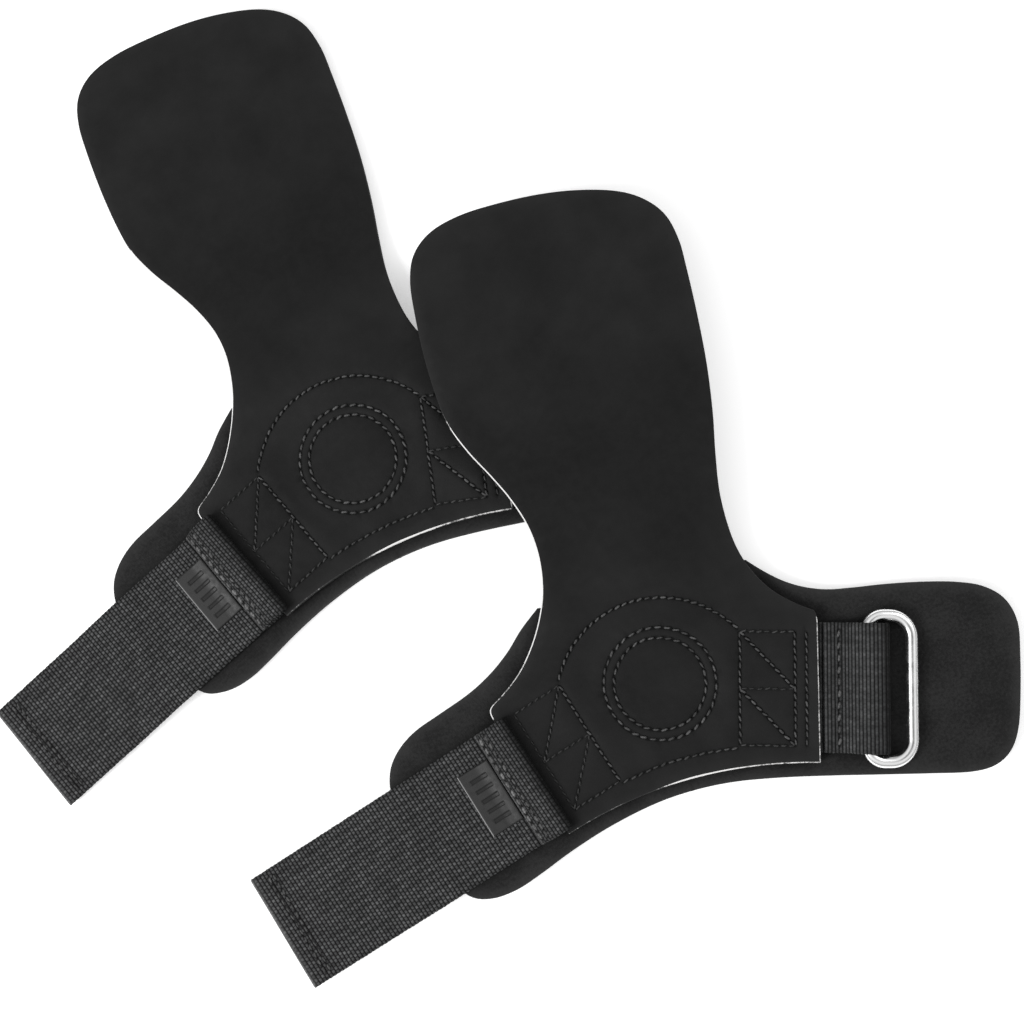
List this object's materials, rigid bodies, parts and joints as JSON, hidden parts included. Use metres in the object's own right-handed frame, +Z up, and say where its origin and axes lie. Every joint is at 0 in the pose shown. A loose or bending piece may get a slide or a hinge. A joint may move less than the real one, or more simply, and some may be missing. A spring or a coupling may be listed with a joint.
{
  "type": "hand grips",
  "caption": "Bar-work hand grips, one over the other: leather palm flaps on neoprene wrist cuffs, each with a webbing strap and a steel strap ring",
  "frame": {"origin": "under the middle of the pair's box, on the surface that both cuffs lie on", "axes": "+Z up out of the flaps' faces, +Y towards the finger ends, +X towards the ring of the front grip"},
  "size_m": [0.3125, 0.305, 0.0129],
  "materials": {
    "leather": "matt, finely mottled",
    "jersey_face": "fine knit",
    "jersey_lining": "fine knit",
    "neoprene": "closed-cell foam",
    "pad_foam": "foam",
    "webbing": "ribbed weave",
    "strap_webbing": "basket weave",
    "thread": "twisted thread",
    "ring_steel": "polished",
    "label_rubber": "satin",
    "loop_pile": "soft pile",
    "hook_tape": "hooks"
  },
  "bodies": {
    "rear_cuff": {"rear_cuff_lining": "jersey_lining", "rear_cuff_foam": "neoprene", "rear_cuff_face": "jersey_face", "rear_flap": "leather", "rear_wrist_pad": "pad_foam", "rear_flap_stitching": "thread", "rear_ring_anchor": "webbing", "rear_strap_anchor": "webbing"},
    "rear_left_lobe": {"rear_left_lobe_lining": "jersey_lining", "rear_left_lobe_foam": "neoprene", "rear_left_lobe_face": "jersey_face", "rear_strap_fold": "webbing", "rear_strap_stitching": "thread"},
    "rear_right_lobe": {"rear_right_lobe_lining": "jersey_lining", "rear_right_lobe_foam": "neoprene", "rear_right_lobe_face": "jersey_face", "rear_ring_loop": "webbing", "rear_ring_stitching": "thread"},
    "rear_paddle": {"rear_paddle": "leather"},
    "rear_ring": {"rear_ring": "ring_steel"},
    "rear_strap": {"rear_strap": "strap_webbing", "rear_loop_patch": "loop_pile", "rear_hook_patch": "hook_tape", "rear_label": "label_rubber"},
    "front_cuff": {"front_cuff_lining": "jersey_lining", "front_cuff_foam": "neoprene", "front_cuff_face": "jersey_face", "front_flap": "leather", "front_wrist_pad": "pad_foam", "front_flap_stitching": "thread", "front_ring_anchor": "webbing", "front_strap_anchor": "webbing"},
    "front_left_lobe": {"front_left_lobe_lining": "jersey_lining", "front_left_lobe_foam": "neoprene", "front_left_lobe_face": "jersey_face", "front_strap_fold": "webbing", "front_strap_stitching": "thread"},
    "front_right_lobe": {"front_right_lobe_lining": "jersey_lining", "front_right_lobe_foam": "neoprene", "front_right_lobe_face": "jersey_face", "front_ring_loop": "webbing", "front_ring_stitching": "thread"},
    "front_paddle": {"front_paddle": "leather"},
    "front_ring": {"front_ring": "ring_steel"},
    "front_strap": {"front_strap": "strap_webbing", "front_loop_patch": "loop_pile", "front_hook_patch": "hook_tape", "front_label": "label_rubber"}
  },
  "joints": [
    {"name": "front_grip_lift", "type": "slide", "parent": "rear_cuff", "child": "front_cuff", "axis": [0, 0, 1], "range_m": [0, 0.15]},
    {"name": "rear_paddle_fold", "type": "hinge", "parent": "rear_cuff", "child": "rear_paddle", "pos_m": [-0.05325, 0.03518, 0.0075], "axis": [0.9092, 0.4163, 0], "range_deg": [0, 150]},
    {"name": "rear_left_lobe_fold", "type": "hinge", "parent": "rear_cuff", "child": "rear_left_lobe", "pos_m": [-0.07827, -0.02418, 0], "axis": [0.6574, -0.7536, 0], "range_deg": [0, 120]},
    {"name": "rear_right_lobe_fold", "type": "hinge", "parent": "rear_cuff", "child": "rear_right_lobe", "pos_m": [0.00705, 0.01519, 0], "axis": [-0.1409, 0.99, 0], "range_deg": [0, 120]},
    {"name": "rear_strap_lift", "type": "hinge", "parent": "rear_left_lobe", "child": "rear_strap", "pos_m": [-0.08275, -0.02809, 0.0075], "axis": [-0.6574, 0.7536, 0], "range_deg": [0, 90]},
    {"name": "rear_ring_swing", "type": "hinge", "parent": "rear_right_lobe", "child": "rear_ring", "pos_m": [0.02096, 0.01647, 0.00715], "axis": [0.1409, -0.99, 0], "range_deg": [0, 12]},
    {"name": "front_paddle_fold", "type": "hinge", "parent": "front_cuff", "child": "front_paddle", "pos_m": [0.04386, -0.03114, 0.0075], "axis": [0.9598, 0.2807, 0], "range_deg": [0, 150]},
    {"name": "front_left_lobe_fold", "type": "hinge", "parent": "front_cuff", "child": "front_left_lobe", "pos_m": [0.01053, -0.08626, 0], "axis": [0.5417, -0.8406, 0], "range_deg": [0, 120]},
    {"name": "front_right_lobe_fold", "type": "hinge", "parent": "front_cuff", "child": "front_right_lobe", "pos_m": [0.10064, -0.05962, 0], "axis": [0.0035, 1, 0], "range_deg": [0, 120]},
    {"name": "front_strap_lift", "type": "hinge", "parent": "front_left_lobe", "child": "front_strap", "pos_m": [0.00553, -0.08949, 0.0075], "axis": [-0.5417, 0.8406, 0], "range_deg": [0, 90]},
    {"name": "front_ring_swing", "type": "hinge", "parent": "front_right_lobe", "child": "front_ring", "pos_m": [0.11219, -0.06036, 0.00715], "axis": [-0.0035, -1, 0], "range_deg": [0, 160]}
  ]
}
